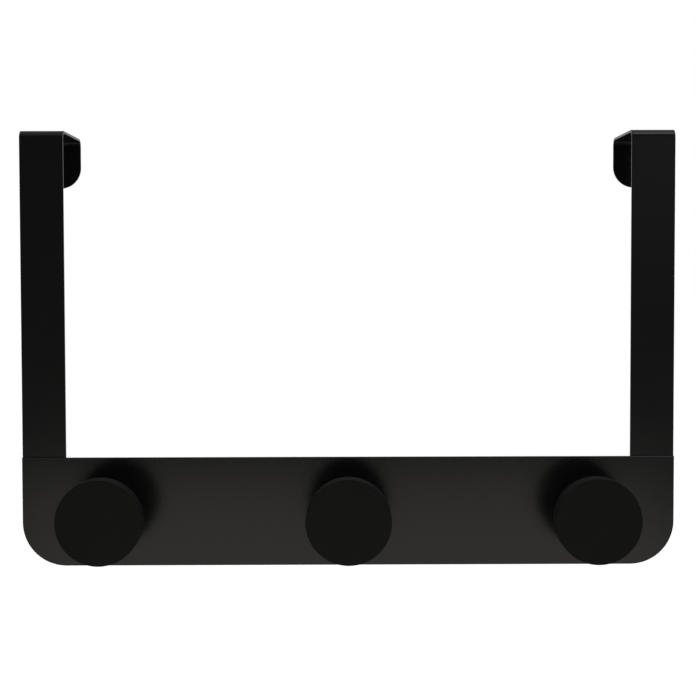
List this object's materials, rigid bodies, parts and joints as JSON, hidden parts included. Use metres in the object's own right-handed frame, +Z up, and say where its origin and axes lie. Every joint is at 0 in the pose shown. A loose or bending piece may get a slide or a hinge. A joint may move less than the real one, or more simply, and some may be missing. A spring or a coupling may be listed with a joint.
{
  "type": "over door hook",
  "caption": "Black steel over-door hook rail: a wide plate with disc knobs for coats hangs from flat straps that bend over the top of a door and end in short lips.",
  "frame": {"origin": "the middle of the door's top front edge, where the straps' back faces and the bridges' undersides would meet", "axes": "+X to the right as seen from the front, +Y into the door, away from the knobs, +Z up"},
  "size_m": [0.3, 0.0736, 0.2],
  "materials": {
    "frame_coat": "satin black powder coat with a fine grain",
    "knob_coat": "matte black paint",
    "screw_steel": "zinc-plated steel"
  },
  "bodies": {
    "root": {"front_plate": "frame_coat", "left_strap": "frame_coat", "right_strap": "frame_coat", "left_knob": "knob_coat", "middle_knob": "knob_coat", "right_knob": "knob_coat", "knob_screws": "screw_steel"}
  },
  "joints": []
}
